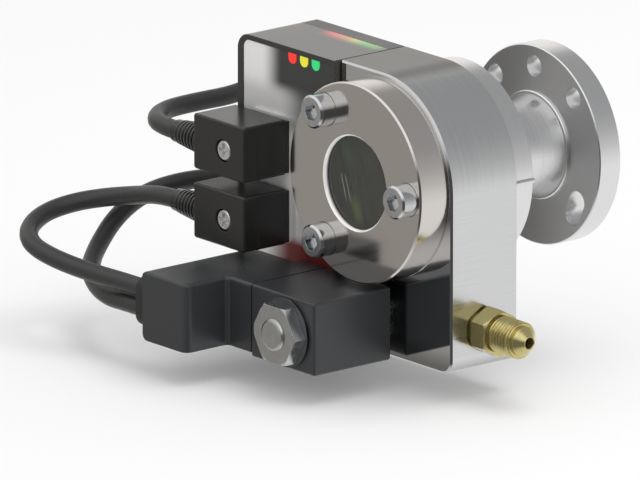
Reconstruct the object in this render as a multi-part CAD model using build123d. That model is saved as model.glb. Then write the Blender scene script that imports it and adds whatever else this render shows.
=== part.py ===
from build123d import *
import os
from math import atan2, cos, degrees, hypot, pi, radians, sin, sqrt, tan

# Oil level regulator for a refrigeration compressor, in millimetres.
#
# The origin is the centre of the bolt flange's sealing face. +Y leaves that
# face towards the compressor, so the sight glass looks along -Y. +Z is up and
# +X is the side of the brass oil inlet.

# Clearances
thread_gap = 0.02        # radius, between a screw and its tapped hole
running_gap = 0.05       # radius, between a moving pin or plunger and its bore
seal_gap = 0.02          # between an O-ring and the faces that hold it
fit_gap = 0.1            # between a moulded piece and the opening it sits in

# Mounting adapter: collar, flared neck and bolt flange
flange_r = 30.0
flange_thick = 8.0
turned_chamfer = 0.3
bolt_hole_r = 3.3
three_bolt_circle_r = 23.8
four_bolt_circle_r = 25.0
three_bolt_spread = 124.5  # angle from the top hole to each of the others
bead_r = 16.3
bead_width = 0.8
neck_length = 26.0
neck_flare_r = 15.3
neck_throat_r = 12.3
neck_straight = 6.0
collar_r = 30.5
collar_thick = 7.0
rib_r = 0.75
rib_over = 0.4
oil_bore_r = 9.0
seal_cord = 2.4
collar_seal_r = 18.2
flange_seal_r = 14.6

# Valve block
block_depth = 25.0
body_r = 31.5            # the block's round corner, about the main axis
block_left = 19.0
block_drop = 53.5
block_corner = 4.5
block_chamfer = 0.6
chamber_r = 16.0

# Sight glass and its flange
sight_r = 30.0
sight_chamfer = 0.5
window_r = 14.0
lip_thick = 1.0
glass_r = 18.5
glass_thick = 7.0
gasket_thick = 0.5
gasket_width = 4.2
glass_seal_r = 17.4
glass_seal_cord = 2.0

# Three screws that clamp the sight flange, the block and the adapter
screw_r = 3.0
screw_circle_r = 23.8
screw_spread = 124.5     # angle from the right-hand screw to each of the others
screw_hole_r = 3.3
head_r = 5.0
head_height = 6.0
head_recess = 0.6
socket_across = 5.0
socket_depth = 3.0
thread_engaged = 5.1
drill_over = 0.5

# Float switch in the chamber
bracket_thick = 1.0
bracket_ring_r = 15.9
bracket_opening_r = 9.2
ear_gap = 19.0           # between the two ears
ear_thick = 1.0
ear_height = 6.0
ear_over = 1.6           # of the ears in front of the pin
pivot_ahead = 3.5        # from the collar to the float's pin
pin_r = 0.9
hub_r = 2.0
arm_width = 3.0
arm_thick = 1.5
stop_thick = 1.0
stop_reach = 11.0
float_r = 5.5
float_length = 19.0
float_reach = 13.0
float_droop = 27.5       # angle below level at rest
float_swing = 45.0
magnet_r = 2.0
magnet_length = 2.5

# Level sensor in the block's left wall
sensor_height = 8.0
sensor_width = 6.0
sensor_thick = 1.8
sensor_pocket = 2.0
sensor_ahead = 16.0      # from the collar to the sensor's middle
lead_r = 0.3
lead_pitch = 2.0
lead_length = 4.0

# Electronics module
module_width = 45.0
module_depth = 21.0
module_front = 2.1       # how far the module stands out in front of the block
corner_r = 5.0           # top left, where no other piece covers it
small_corner_r = 0.8
frame_left = 2.4
frame_top = 1.6
frame_right = 1.2
frame_bottom = 2.0
ledge = 1.0
ledge_thick = 1.0
panel_thick = 1.2
panel_inset = 0.3
panel_corner_r = 2.6
post_r = 2.6
post_overlap = 0.4       # how far the posts reach into the walls beside them
dish_gap = 0.3           # round the sight flange, which reaches over the module
dish_wall = 1.2
cover_wall = 2.4
board_thick = 1.6
board_depth = 8.1        # from the module's front to the board
board_gap = 0.2
lens_width = 3.6
lens_height = 3.2
lens_proud = 0.15
lens_pitch = 5.35
lens_first = 38.9        # left-hand light guide, left of the main axis
pad_left = 57.0
pad_right = 37.6
pad_top = 10.4
pad_bottom = 28.0
pad_corner_r = 2.5
pad_rise = 1.5

# Screws of the module
cover_screw_r = 1.25
cover_screw_length = 11.0
cover_head_r = 2.2
cover_head = 1.2
side_screw_r = 1.5
side_screw_grip = 4.0
side_head_r = 2.75
side_head = 2.0
side_screw_heights = (12.0, -30.0)
side_screw_back = 13.0   # from the block's front to their axes

# Plugs on the module
plug_width = 23.75
plug_right = 38.65
plug_height = 16.8
plug_depth = 15.45
plug_step = 5.4
plug_step_in = 0.2
plug_edge_r = 0.9
plug_heights = (1.7, -19.4)
socket_base_left = 56.5
socket_base_thick = 1.6
socket_base_height = 15.6
tail_left = 54.0
tail_right = 41.0
tail_height = 12.0
contact_r = 1.0
contact_length = 6.0
contact_circle_r = 4.8
plug_screw_left = 48.6
plug_screw_drop = 0.3
plug_screw_r = 1.5
plug_head_r = 3.15
plug_head = 1.8
plug_recess_r = 3.45
plug_recess = 2.05
cross_width = 1.1
cross_depth = 1.0
relief_length = 13.4
relief_back = 10.3       # from the pad to the middle of the strain relief
relief_drop = 0.7        # below the plug's middle
relief_root_r = 4.9
relief_tip_r = 3.4
relief_waist = 0.6
relief_ribs = 7
rib_pitch = 1.65
rib_width = 0.85

# Cables
cable_r = 2.8
upper_exit = 8.4         # straight out of the plug's sleeve
lower_exit = 8.0
entry_run = 9.0          # straight into the grommet
upper_route = [
    (-91.8, -76.9, 1.1), (-96.7, -68.6, 1.2), (-96.5, -56.9, 1.5), (-94.6, -44.0, 1.9),
    (-93.9, -32.0, 4.6), (-94.0, -19.6, 5.2), (-94.0, -10.4, -0.9), (-94.0, -7.7, -11.6),
    (-93.9, -12.7, -21.6), (-94.0, -23.1, -26.6), (-94.8, -36.1, -24.3), (-97.1, -49.0, -23.1),
    (-100.9, -61.1, -23.3), (-105.1, -71.2, -26.2), (-108.2, -78.9, -32.6), (-105.6, -87.5, -39.0),
    (-98.8, -96.3, -42.4), (-89.2, -102.4, -44.7), (-77.6, -106.6, -45.6)]
lower_route = [
    (-97.3, -79.9, -23.4), (-107.5, -83.1, -25.6), (-114.0, -90.6, -27.3), (-115.8, -100.4, -29.3),
    (-112.0, -109.3, -31.8), (-103.6, -114.7, -33.8), (-92.9, -114.8, -35.7), (-81.5, -111.0, -38.0)]

# Solenoid valve
valve_left = 5.0         # the tube's axis, left of the main axis
valve_drop = 42.2        # and below it
cavity_depth = 7.5
spigot_r = 7.0
spigot_length = 4.0
tube_base_r = 8.0
tube_base = 2.9
tube_r = 4.9
tube_length = 35.2
tube_bore_r = 4.0
tube_end = 1.0
tube_edge_r = 0.9
tube_seal_cord = 1.0
plunger_length = 26.4
plunger_start = 1.5      # from the cavity's floor to the plunger's rear end
plunger_travel = 1.2
pole_gap = 0.4           # left between plunger and pole when the valve is open
spring_r = 2.2
spring_wire_r = 0.3
spring_turns = 5
spring_bore_r = 2.8
spring_bore_depth = 7.0
valve_seal_r = 2.4
valve_seal_depth = 1.6
seat_r = 3.4
seat_length = 4.0
seat_lip = 1.0
seat_lip_r = 1.9
seat_lip_slope = 0.5     # of the lip's cone, outside the orifice
orifice_r = 0.8
outlet_r = 1.2

# Coil
coil_left = 21.4
coil_right = 7.65
coil_top = 31.1
coil_bottom = 53.2
coil_depth = 29.2
coil_edge_r = 0.8
washer_r = 10.4
washer_thick = 0.8
coil_nut_across = 17.0
coil_nut_height = 4.2
coil_nut_bevel = 0.5     # at the nut's points
head_left = 52.1
head_right = 32.0
head_bottom = 51.9
head_front = 15.9        # how far the cable head stands out in front of the coil
head_back = 3.2
head_edge_r = 2.4
head_low_r = 2.0
head_top_r = 1.2
head_inner_r = 1.5       # where the neck meets the head
grommet_length = 6.5
grommet_width = 9.0
grommet_top = 34.4
grommet_bottom = 49.6
grommet_back = 6.5       # from the cable head's front to the grommet's middle

# Oil inlet at the right
inlet_ahead = 12.0       # its axis, from the collar
inlet_drop = 41.5        # and below the main axis
inlet_bore_depth = 9.0
shank_r = 4.5
shank_length = 8.0
inlet_hex_across = 12.7
inlet_hex = 7.0
inlet_chamfer = 0.7
inlet_groove = 1.0
inlet_groove_r = 4.7
inlet_thread_r = 5.55
inlet_thread = 8.0
inlet_ring_r = 5.3
inlet_ring = 0.6
flare_land_r = 4.45
flare_land = 0.9
flare_tip_r = 1.95
flare_bore_r = 1.65
inlet_seal_r = 5.2
inlet_seal_cord = 1.2
strainer_r = 3.2
strainer_bore_r = 2.6
strainer_length = 11.0
strainer_rim_r = 4.2
strainer_rim = 0.6
passage_r = 2.0

# Stations along the main axis
flange_front = -flange_thick
bead_front = flange_front - bead_width
collar_back = flange_front - neck_length
collar_front = collar_back - collar_thick
block_front = collar_front - block_depth
glass_back = block_front - glass_seal_cord
glass_front = glass_back - glass_thick
lip_back = glass_front - gasket_thick
sight_front = lip_back - lip_thick
head_seat = sight_front + head_recess
screw_angles = (0.0, screw_spread, -screw_spread)

# The module and what it carries
module_right = -block_left
module_left = module_right - module_width
module_face = block_front - module_front
module_back = module_face + module_depth
panel_seat = module_face + panel_inset + panel_thick
panel_face = module_face + panel_inset
pad_face = panel_face - pad_rise
board_front = module_face + board_depth
board_back = board_front + board_thick
base_face = pad_face - socket_base_thick
plug_front = base_face - plug_depth
inside_x = (module_left + frame_left, module_right - frame_right)
inside_z = (frame_bottom - block_drop, body_r - frame_top)
post_in = post_r - post_overlap
posts = [(x, z) for x in (inside_x[0] + post_in, inside_x[1] - post_in)
         for z in (inside_z[0] + post_in, inside_z[1] - post_in)]
side_screw_y = block_front + side_screw_back
lens_places = [-lens_first + i * lens_pitch for i in range(3)]
lens_bottom = inside_z[1] - lens_height
sensor_y = collar_front - sensor_ahead
lead_places = [i * lead_pitch for i in (-1, 0, 1)]

# The valve, the coil and the inlet
valve_x, valve_z = -valve_left, -valve_drop
cavity_floor = block_front + cavity_depth
coil_back = block_front - tube_base
coil_front = coil_back - coil_depth
tube_front = coil_back - tube_length
plunger_back = cavity_floor - plunger_start
plunger_front = plunger_back - plunger_length
pole_back = plunger_front - plunger_travel - pole_gap
nut_back = coil_front - washer_thick
head_face = coil_front - head_front
head_rear = coil_back - head_back
inlet_y = collar_front - inlet_ahead
inlet_z = -inlet_drop


def rod(radius, x, y, z):
    """Round bar. The one coordinate that is a pair gives its direction and its ends."""
    pairs = [c if isinstance(c, tuple) else (c, c) for c in (x, y, z)]
    start, end = (Vector(*[pair[i] for pair in pairs]) for i in (0, 1))
    return extrude(Plane(start, z_dir=end - start) * Circle(radius), (end - start).length)


def box(x, y, z):
    """Block between two limits along each axis."""
    low = [min(pair) for pair in (x, y, z)]
    size = [abs(pair[1] - pair[0]) for pair in (x, y, z)]
    return Pos(*low) * Box(*size, align=(Align.MIN, Align.MIN, Align.MIN))


def turned_y(profile, x=0.0, z=0.0):
    """Turn a closed profile of (radius, y) points about an axis along Y."""
    return Pos(x, 0, z) * revolve(make_face(Polyline(*profile, close=True)), Axis.Y)


def turned_x(profile, y, z):
    """Turn a closed profile of (x, radius) points about an axis along X."""
    return Pos(0, y, z) * revolve(make_face(Polyline(*profile, close=True)), Axis.X)


def o_ring(mean_r, cord, y, x=0.0, z=0.0):
    """Rubber ring about an axis along Y, a little thinner than its groove."""
    return Pos(x, y, z) * Rot(X=90) * Torus(mean_r, cord / 2 - seal_gap)


def groove(mean_r, width, y, x=0.0, z=0.0):
    """Ring-shaped cut of a groove between two limits in y."""
    return rod(mean_r + width / 2, x, y, z) - rod(mean_r - width / 2, x, y, z)


def around(radius, angles):
    """Points (x, z) on a circle about the main axis, at angles from +X towards +Z."""
    return [(radius * cos(radians(a)), radius * sin(radians(a))) for a in angles]


def outline(x, z, radii=(0, 0, 0, 0)):
    """Rectangle in x and z. Its corner radii run clockwise from the top left."""
    shape = Pos((x[0] + x[1]) / 2, (z[0] + z[1]) / 2) * Rectangle(x[1] - x[0], z[1] - z[0])
    corners = ((x[0], z[1]), (x[1], z[1]), (x[1], z[0]), (x[0], z[0]))
    for corner, radius in zip(corners, radii):
        if radius > 0:
            near = shape.vertices().sort_by_distance((*corner, 0))[0]
            shape = fillet(near, radius)
    return shape


def slab(shape, y):
    """Extrude an outline drawn in x and z between two limits in y."""
    return extrude(Plane.XZ.offset(-max(y)) * shape, max(y) - min(y))


def front_face(solid):
    return solid.faces().sort_by(Axis.Y)[0]


def back_face(solid):
    return solid.faces().sort_by(Axis.Y)[-1]


# Pressure body

def mounting_adapter():
    """Collar, flared neck and bolt flange, turned from one bar."""
    c = turned_chamfer
    throat = (neck_throat_r, collar_back + neck_straight)
    rim = Polyline(
        (neck_flare_r, bead_front), (bead_r - c, bead_front), (bead_r, bead_front + c),
        (bead_r, flange_front),
        (flange_r - c, flange_front), (flange_r, flange_front + c), (flange_r, -c), (flange_r - c, 0),
        (oil_bore_r, 0), (oil_bore_r, collar_front), (collar_r - c, collar_front),
        (collar_r, collar_front + c), (collar_r, collar_back - c), (collar_r - c, collar_back),
        (neck_throat_r, collar_back), throat)
    flare = TangentArc(throat, (neck_flare_r, bead_front), tangent=(0, 1))
    body = revolve(make_face(rim + flare), Axis.Y)
    # two usual bolt patterns: their lower holes run together as a slot at each side
    three = around(three_bolt_circle_r, (90, 90 + three_bolt_spread, 90 - three_bolt_spread))
    four = around(four_bolt_circle_r, (45, 135, 225, 315))
    for x, z in (three[0], four[0], four[1]):
        body -= rod(bolt_hole_r, x, (flange_front, 0), z)
    for near, far in zip(three[1:], four[2:]):
        length, angle = hypot(far[0] - near[0], far[1] - near[1]), atan2(far[1] - near[1], far[0] - near[0])
        slot = SlotCenterToCenter(length, 2 * bolt_hole_r, rotation=degrees(angle))
        body -= slab(Pos((near[0] + far[0]) / 2, (near[1] + far[1]) / 2) * slot, (flange_front, 0))
    for x, z in around(screw_circle_r, screw_angles):
        bottom = collar_front + thread_engaged + drill_over
        body -= rod(screw_r + thread_gap, x, (collar_front, bottom), z)
    body -= groove(collar_seal_r, seal_cord, (collar_front, collar_front + seal_cord))
    body -= groove(flange_seal_r, seal_cord, (-seal_cord, 0))
    # index rib along the collar's right side, with a rounded end
    rib = rod(rib_r, collar_r, (collar_front, collar_back + rib_over - rib_r), 0)
    rib += Pos(collar_r, collar_back + rib_over - rib_r, 0) * Sphere(rib_r)
    return body + rib


def block_outline():
    """Left, lower and right sides, and a top right corner round about the main axis."""
    left, bottom = -block_left, -block_drop
    sides = Polyline((0, body_r), (left, body_r), (left, bottom), (body_r, bottom), (body_r, 0))
    corner = RadiusArc((body_r, 0), (0, body_r), -body_r)
    shape = make_face(sides + corner)
    lower_right = shape.vertices().sort_by_distance((body_r, bottom, 0))[0]
    return fillet(lower_right, block_corner)


def valve_block():
    block = slab(block_outline(), (block_front, collar_front))
    block = chamfer(front_face(block).edges(), block_chamfer)
    block = chamfer(back_face(block).edges(), turned_chamfer)
    # float chamber and the long screws' holes
    block -= rod(chamber_r, 0, (block_front, collar_front), 0)
    for x, z in around(screw_circle_r, screw_angles):
        block -= rod(screw_hole_r, x, (block_front, collar_front), z)
    # level sensor's pocket, behind a thin wall that the magnet works through
    pocket_y = (sensor_y - sensor_width / 2 - fit_gap, sensor_y + sensor_width / 2 + fit_gap)
    half = sensor_height / 2 + fit_gap
    block -= box((-block_left, -block_left + sensor_pocket), pocket_y, (-half, half))
    for z in side_screw_heights:
        depth = side_screw_grip + drill_over
        block -= rod(side_screw_r + thread_gap, (-block_left, -block_left + depth), side_screw_y, z)
    # solenoid valve: threaded cavity, seat bore, and the outlet up into the chamber
    block -= rod(spigot_r + thread_gap, valve_x, (block_front, cavity_floor), valve_z)
    block -= rod(seat_r, valve_x, (cavity_floor, inlet_y + passage_r), valve_z)
    outlet_y = cavity_floor - (cavity_depth - spigot_length) / 2
    block -= rod(outlet_r, valve_x, outlet_y, (valve_z + seat_r, 0))
    # oil inlet: O-ring counterbore, threaded bore, strainer bore and passage
    seal_bore_r = inlet_seal_r + inlet_seal_cord / 2
    bore_end = body_r - inlet_bore_depth
    block -= rod(seal_bore_r, (body_r - inlet_seal_cord, body_r), inlet_y, inlet_z)
    block -= rod(shank_r + thread_gap, (bore_end, body_r), inlet_y, inlet_z)
    block -= rod(strainer_r + fit_gap, (bore_end - strainer_length, bore_end), inlet_y, inlet_z)
    block -= rod(passage_r, (valve_x, bore_end), inlet_y, inlet_z)
    return block


def sight_flange():
    c = sight_chamfer
    pocket_r = glass_r + fit_gap
    ring = turned_y([
        (pocket_r, block_front), (sight_r - c, block_front), (sight_r, block_front - c),
        (sight_r, sight_front + c), (sight_r - c, sight_front), (window_r + c, sight_front),
        (window_r, sight_front + c), (window_r, lip_back), (pocket_r, lip_back)])
    for x, z in around(screw_circle_r, screw_angles):
        ring -= rod(screw_hole_r, x, (sight_front, block_front), z)
        ring -= rod(head_r + fit_gap, x, (sight_front, head_seat), z)
    return ring


def glass_gasket():
    return groove(window_r + fit_gap + gasket_width / 2, gasket_width, (lip_back, glass_front))


def sight_glass():
    c = sight_chamfer
    return turned_y([
        (0, glass_back), (glass_r - c, glass_back), (glass_r, glass_back - c),
        (glass_r, glass_front + c), (glass_r - c, glass_front), (0, glass_front)])


def hexagon(across):
    """Hexagon with two of its flats level, for a key or a spanner."""
    return RegularPolygon(across / 2, 6, major_radius=False)


def flange_screws():
    """Three equal socket head screws, from the sight flange into the adapter's collar."""
    front = head_seat - head_height
    tip = collar_front + thread_engaged
    screw = turned_y([
        (0, tip), (screw_r - sight_chamfer, tip), (screw_r, tip - sight_chamfer), (screw_r, head_seat),
        (head_r, head_seat), (head_r, front + block_chamfer), (head_r - block_chamfer, front), (0, front)])
    screw -= slab(hexagon(socket_across), (front, front + socket_depth))
    return Compound([Pos(x, 0, z) * screw for x, z in around(screw_circle_r, screw_angles)])


# Float switch

pivot_y = collar_front - pivot_ahead
droop = radians(float_droop)
float_y = pivot_y - float_reach * cos(droop)
float_z = -float_reach * sin(droop)


def float_bracket():
    ring = rod(bracket_ring_r, 0, (collar_front - bracket_thick, collar_front), 0)
    for side in (-1, 1):
        inner, outer = side * ear_gap / 2, side * (ear_gap / 2 + ear_thick)
        tip = pivot_y - pin_r - ear_over
        ring += box((inner, outer), (tip, collar_front - bracket_thick), (-ear_height / 2, ear_height / 2))
    ring -= rod(bracket_opening_r, 0, (collar_front - bracket_thick, collar_front), 0)
    return ring - rod(pin_r, (-bracket_ring_r, bracket_ring_r), pivot_y, 0)


def float_pin():
    reach = ear_gap / 2 + ear_thick
    return rod(pin_r, (-reach, reach), pivot_y, 0)


def float_bar():
    """Flat bar from the hub into the float, along the float's droop."""
    length = float_reach - hub_r / 2
    bar = Pos(0, -hub_r / 2 - length / 2, 0) * Box(arm_width, length, arm_thick)
    return Pos(0, pivot_y, 0) * Rot(X=float_droop) * bar


def float_arm():
    """Hub on the pin, the bar that carries the float, and a stop tail for each limit."""
    half = ear_gap / 2 - fit_gap
    arm = rod(hub_r, (-half, half), pivot_y, 0) + float_bar()
    tail_back = collar_front - bracket_thick - running_gap
    tail = box((-arm_width / 2, arm_width / 2), (tail_back - stop_thick, tail_back),
               (-stop_reach, -hub_r / 2))
    arm += tail
    # the upper tail meets the bracket when the float has swung up
    arm += Pos(0, pivot_y, 0) * Rot(X=float_swing) * Pos(0, -pivot_y, 0) * mirror(tail, Plane.XY)
    return arm - rod(pin_r + running_gap, (-half, half), pivot_y, 0)


def float_body():
    half = float_length / 2
    return rod(float_r, (-half, half), float_y, float_z) - float_bar()


def float_magnet():
    return rod(magnet_r, (-float_length / 2 - magnet_length, -float_length / 2), float_y, float_z)


def level_sensor():
    """Sensor on the pocket's floor, with three leads that reach the circuit board."""
    floor = -block_left + sensor_pocket
    half_y, half_z = sensor_width / 2, sensor_height / 2
    sensor = box((floor - sensor_thick, floor), (sensor_y - half_y, sensor_y + half_y), (-half_z, half_z))
    outer = floor - sensor_thick
    for z in lead_places:
        sensor += rod(lead_r, (outer - lead_length, outer), board_back + lead_r, z)
    return sensor


# Electronics module

def module_outline():
    small = small_corner_r
    return outline((module_left, module_right), (-block_drop, body_r), (corner_r, small, small, small))


def module_housing():
    """Moulded shell, open at the back."""
    shell = slab(module_outline(), (module_face, module_back))
    opening = outline(inside_x, inside_z, (panel_corner_r,) * 4)
    ledge_x = (inside_x[0] + ledge, inside_x[1] - ledge)
    ledge_z = (inside_z[0] + ledge, inside_z[1] - ledge)
    inner = outline(ledge_x, ledge_z, (panel_corner_r - ledge,) * 4)
    ledge_back = panel_seat + ledge_thick
    shell -= slab(opening, (module_face, panel_seat))
    shell -= slab(inner, (panel_seat, ledge_back))
    cavity = slab(opening, (ledge_back, module_back))
    for x, z in posts:
        cavity -= rod(post_r, x, (board_back, module_back), z)
        cavity += rod(cover_screw_r + thread_gap, x, (board_back, module_back), z)
    shell -= cavity
    # round dish that the sight flange lies in, where it reaches over the module
    dish = slab(opening, (panel_seat, block_front + dish_wall))
    shell += dish & rod(sight_r + dish_gap + dish_wall, 0, (panel_seat, block_front + dish_wall), 0)
    shell -= rod(sight_r + dish_gap, 0, (module_face, block_front), 0)
    # slot for the sensor's leads, and holes for the screws into the block
    half = lead_places[-1] + lead_r + fit_gap
    slot_y = (board_back - fit_gap, board_back + 2 * lead_r + fit_gap)
    shell -= box((inside_x[1], module_right), slot_y, (-half, half))
    for z in side_screw_heights:
        shell -= rod(side_screw_r + fit_gap, (inside_x[1], module_right), side_screw_y, z)
    return shell


def module_cover():
    """Rear lid, flush with the housing and screwed to its posts."""
    lid = slab(module_outline(), (module_back, collar_front))
    lid = chamfer(back_face(lid).edges(), turned_chamfer)
    hollow = slab(outline(inside_x, inside_z, (panel_corner_r,) * 4),
                  (module_back, collar_front - cover_wall))
    for x, z in posts:
        hollow -= rod(post_r, x, (module_back, collar_front - cover_wall), z)
    lid -= hollow
    for x, z in posts:
        lid -= rod(cover_screw_r + fit_gap, x, (module_back, collar_front), z)
        lid -= rod(cover_head_r + fit_gap, x, (collar_front - cover_head, collar_front), z)
    return lid


def lens_outline(x, top, width=lens_width):
    """Upright light window with a round lower end and a straight top."""
    r = width / 2
    middle = lens_bottom + lens_width / 2
    whole = outline((x - r, x + r), (middle, middle + lens_height)) + Pos(x, middle) * Circle(r)
    return whole & outline((x - r, x + r), (middle - 2 * r, top))


def front_panel():
    gap = running_gap
    x = (inside_x[0] + gap, inside_x[1] - gap)
    z = (inside_z[0] + gap, inside_z[1] - gap)
    panel = slab(outline(x, z, (panel_corner_r,) * 4), (panel_face, panel_seat))
    pad = outline((-pad_left, -pad_right), (-pad_bottom, pad_top), (pad_corner_r,) * 4)
    panel += slab(pad, (pad_face, panel_face))
    for place in lens_places:
        panel -= slab(lens_outline(place, inside_z[1], lens_width + 2 * gap), (panel_face, panel_seat))
    for z in plug_heights:
        half = tail_height / 2 + gap
        panel -= box((-tail_left - gap, -tail_right + gap), (pad_face, panel_seat), (z - half, z + half))
    return panel - rod(sight_r + dish_gap, 0, (panel_face, panel_seat), 0)


def light_guide(place):
    """Clear rod from a light on the board to its window in the panel."""
    front = slab(lens_outline(place, inside_z[1] - running_gap), (panel_face - lens_proud, panel_seat))
    return front + slab(lens_outline(place, inside_z[1] - ledge - fit_gap), (panel_seat, board_front))


def circuit_board():
    x = (inside_x[0] + board_gap, inside_x[1] - board_gap)
    z = (inside_z[0] + board_gap, inside_z[1] - board_gap)
    return slab(outline(x, z, (panel_corner_r,) * 4), (board_front, board_back))


def cover_screws():
    tip = collar_front - cover_screw_length
    screw = turned_y([
        (0, collar_front), (cover_head_r, collar_front), (cover_head_r, collar_front - cover_head),
        (cover_screw_r, collar_front - cover_head), (cover_screw_r, tip), (0, tip)])
    return Compound([Pos(x, 0, z) * screw for x, z in posts])


def side_screws():
    """Screws from inside the housing into the block."""
    seat = inside_x[1]
    tip = module_right + side_screw_grip
    screw = turned_x([
        (seat - side_head, 0), (seat - side_head, side_head_r), (seat, side_head_r),
        (seat, side_screw_r), (tip, side_screw_r), (tip, 0)], side_screw_y, 0)
    return Compound([Pos(0, 0, z) * screw for z in side_screw_heights])


# Plugs and sockets of the module

def contact_places(height):
    middle = height - plug_screw_drop
    return [(-plug_screw_left + x, middle + z) for x, z in around(contact_circle_r, (0, 120, 240))]


def plug_socket(height):
    """Socket body on the panel's pad, its tail down to the board, and three contacts."""
    half = socket_base_height / 2
    body = box((-socket_base_left, -plug_right - running_gap), (base_face, pad_face),
               (height - half, height + half))
    half = tail_height / 2
    body += box((-tail_left, -tail_right), (pad_face, board_front), (height - half, height + half))
    body -= rod(plug_screw_r + thread_gap, -plug_screw_left, (base_face, panel_seat),
                height - plug_screw_drop)
    for x, z in contact_places(height):
        body += rod(contact_r, x, (base_face - contact_length, base_face), z)
    return body


def plug(height):
    half = plug_height / 2
    x, z = (-plug_right - plug_width, -plug_right), (height - half, height + half)
    step = plug_front + plug_step
    body = slab(outline(x, z, (plug_edge_r,) * 4), (step, base_face))
    cap = slab(outline((x[0], x[1] - plug_step_in), z, (plug_edge_r,) * 4), (plug_front, step))
    cap = chamfer(front_face(cap).edges(), plug_edge_r / 2)
    body += cap
    middle = height - plug_screw_drop
    body -= rod(plug_recess_r, -plug_screw_left, (plug_front, plug_front + plug_recess), middle)
    body -= rod(plug_screw_r + fit_gap, -plug_screw_left, (plug_front, base_face), middle)
    for x, z in contact_places(height):
        body -= rod(contact_r + running_gap, x, (base_face - contact_length - drill_over, base_face), z)
    return body


def plug_screw(height):
    """Fixing screw with a cross recess, through the plug into the socket."""
    seat = plug_front + plug_recess
    tip = panel_seat - drill_over
    front = seat - plug_head
    middle = height - plug_screw_drop
    screw = turned_y([
        (0, tip), (plug_screw_r, tip), (plug_screw_r, seat), (plug_head_r, seat),
        (plug_head_r, front + plug_head / 4), (plug_head_r - plug_head / 4, front), (0, front)],
        -plug_screw_left, middle)
    long, short = plug_head_r * 0.7, cross_width / 2
    for across, high in ((long, short), (short, long)):
        screw -= box((-plug_screw_left - across, -plug_screw_left + across), (front, front + cross_depth),
                     (middle - high, middle + high))
    return screw


def strain_relief(height):
    """Tapered sleeve with ribs, from the plug's left face to the cable."""
    root = -plug_right - plug_width
    tip = root - relief_length
    slope = (relief_root_r - relief_tip_r) / relief_length
    sleeve = turned_x([
        (root, 0), (root, relief_root_r - relief_waist), (tip, relief_tip_r), (tip, 0)],
        relief_y, height - relief_drop)
    for i in range(relief_ribs):
        start = root - i * rib_pitch
        end = start - rib_width
        sleeve += turned_x([
            (start, 0), (start, relief_root_r - slope * (root - start)),
            (end, relief_root_r - slope * (root - end)), (end, 0)], relief_y, height - relief_drop)
    return sleeve


# Cables

relief_y = pad_face - socket_base_thick - relief_back
relief_tip_x = -plug_right - plug_width - relief_length
grommet_x = -head_left - grommet_length
grommet_y = head_face + grommet_back
grommet_z = -(grommet_top + grommet_bottom) / 2
entry_gap = 5.9          # between the two cables in the grommet


def cable(name, start, leave, route, end):
    """Limp cable: straight runs joined by arcs as large as the runs allow."""
    start, end = Vector(*start), Vector(*end)
    points = [start, start - (leave, 0, 0), *[Vector(*p) for p in route], end - (entry_run, 0, 0), end]
    radii = []
    for before, here, after in zip(points, points[1:], points[2:]):
        turn = (here - before).get_angle(after - here)
        run = min((here - before).length, (after - here).length)
        radii.append(0.45 * run / tan(radians(turn) / 2))
    path = FilletPolyline(*points, radius=radii)
    tube = sweep(Plane(path @ 0, z_dir=path % 0) * Circle(cable_r), path=path)
    print(name, "arcs from", round(min(radii), 1), "to", round(max(radii), 1), "mm, length",
          round(path.length, 1), "mm, volume over section times length",
          round(tube.volume / (path.length * pi * cable_r ** 2), 4))
    return tube


def cable_upper():
    entry = (grommet_x, grommet_y, grommet_z - entry_gap / 2)
    start = (relief_tip_x, relief_y, plug_heights[0] - relief_drop)
    return cable("upper cable:", start, upper_exit, upper_route, entry)


def cable_lower():
    entry = (grommet_x, grommet_y, grommet_z + entry_gap / 2)
    start = (relief_tip_x, relief_y, plug_heights[1] - relief_drop)
    return cable("lower cable:", start, lower_exit, lower_route, entry)


# Solenoid valve and coil

def armature_tube():
    """Closed tube with its round base and threaded spigot."""
    spigot_back = block_front + spigot_length
    e = tube_edge_r
    tube = turned_y([
        (tube_bore_r, spigot_back), (spigot_r, spigot_back), (spigot_r, block_front),
        (tube_base_r, block_front), (tube_base_r, coil_back), (tube_r, coil_back),
        (tube_r, tube_front + e), (tube_r - e / 3, tube_front + e / 3), (tube_r - e, tube_front),
        (0, tube_front), (0, tube_front + tube_end), (tube_bore_r, tube_front + tube_end)],
        valve_x, valve_z)
    return tube - groove(spigot_r - tube_seal_cord / 2, tube_seal_cord,
                         (block_front + tube_seal_cord, block_front + 2 * tube_seal_cord), valve_x, valve_z)


def tube_oring():
    return o_ring(spigot_r - tube_seal_cord / 2, tube_seal_cord,
                  block_front + 1.5 * tube_seal_cord, valve_x, valve_z)


def pole_piece():
    """Fixed core, pressed into the closed end of the tube."""
    return rod(tube_bore_r, valve_x, (tube_front + tube_end, pole_back), valve_z)


def plunger():
    body = rod(tube_bore_r - running_gap, valve_x, (plunger_front, plunger_back), valve_z)
    body -= rod(spring_bore_r, valve_x, (plunger_front, plunger_front + spring_bore_depth), valve_z)
    return body - rod(valve_seal_r, valve_x, (plunger_back - valve_seal_depth, plunger_back), valve_z)


def valve_seal():
    """Rubber disc in the plunger's end, just clear of the seat's lip."""
    face = cavity_floor - seat_lip - fit_gap
    return rod(valve_seal_r, valve_x, (plunger_back - valve_seal_depth, face), valve_z)


def plunger_spring():
    """Coil spring between the fixed core and the floor of the plunger's bore."""
    floor = plunger_front + spring_bore_depth
    free = floor - pole_back - 2 * spring_wire_r
    path = Helix(free / spring_turns, free, spring_r)
    wire = sweep(Plane(path @ 0, z_dir=path % 0) * Circle(spring_wire_r), path=path)
    return Pos(valve_x, floor - spring_wire_r, valve_z) * Rot(X=90) * wire


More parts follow.
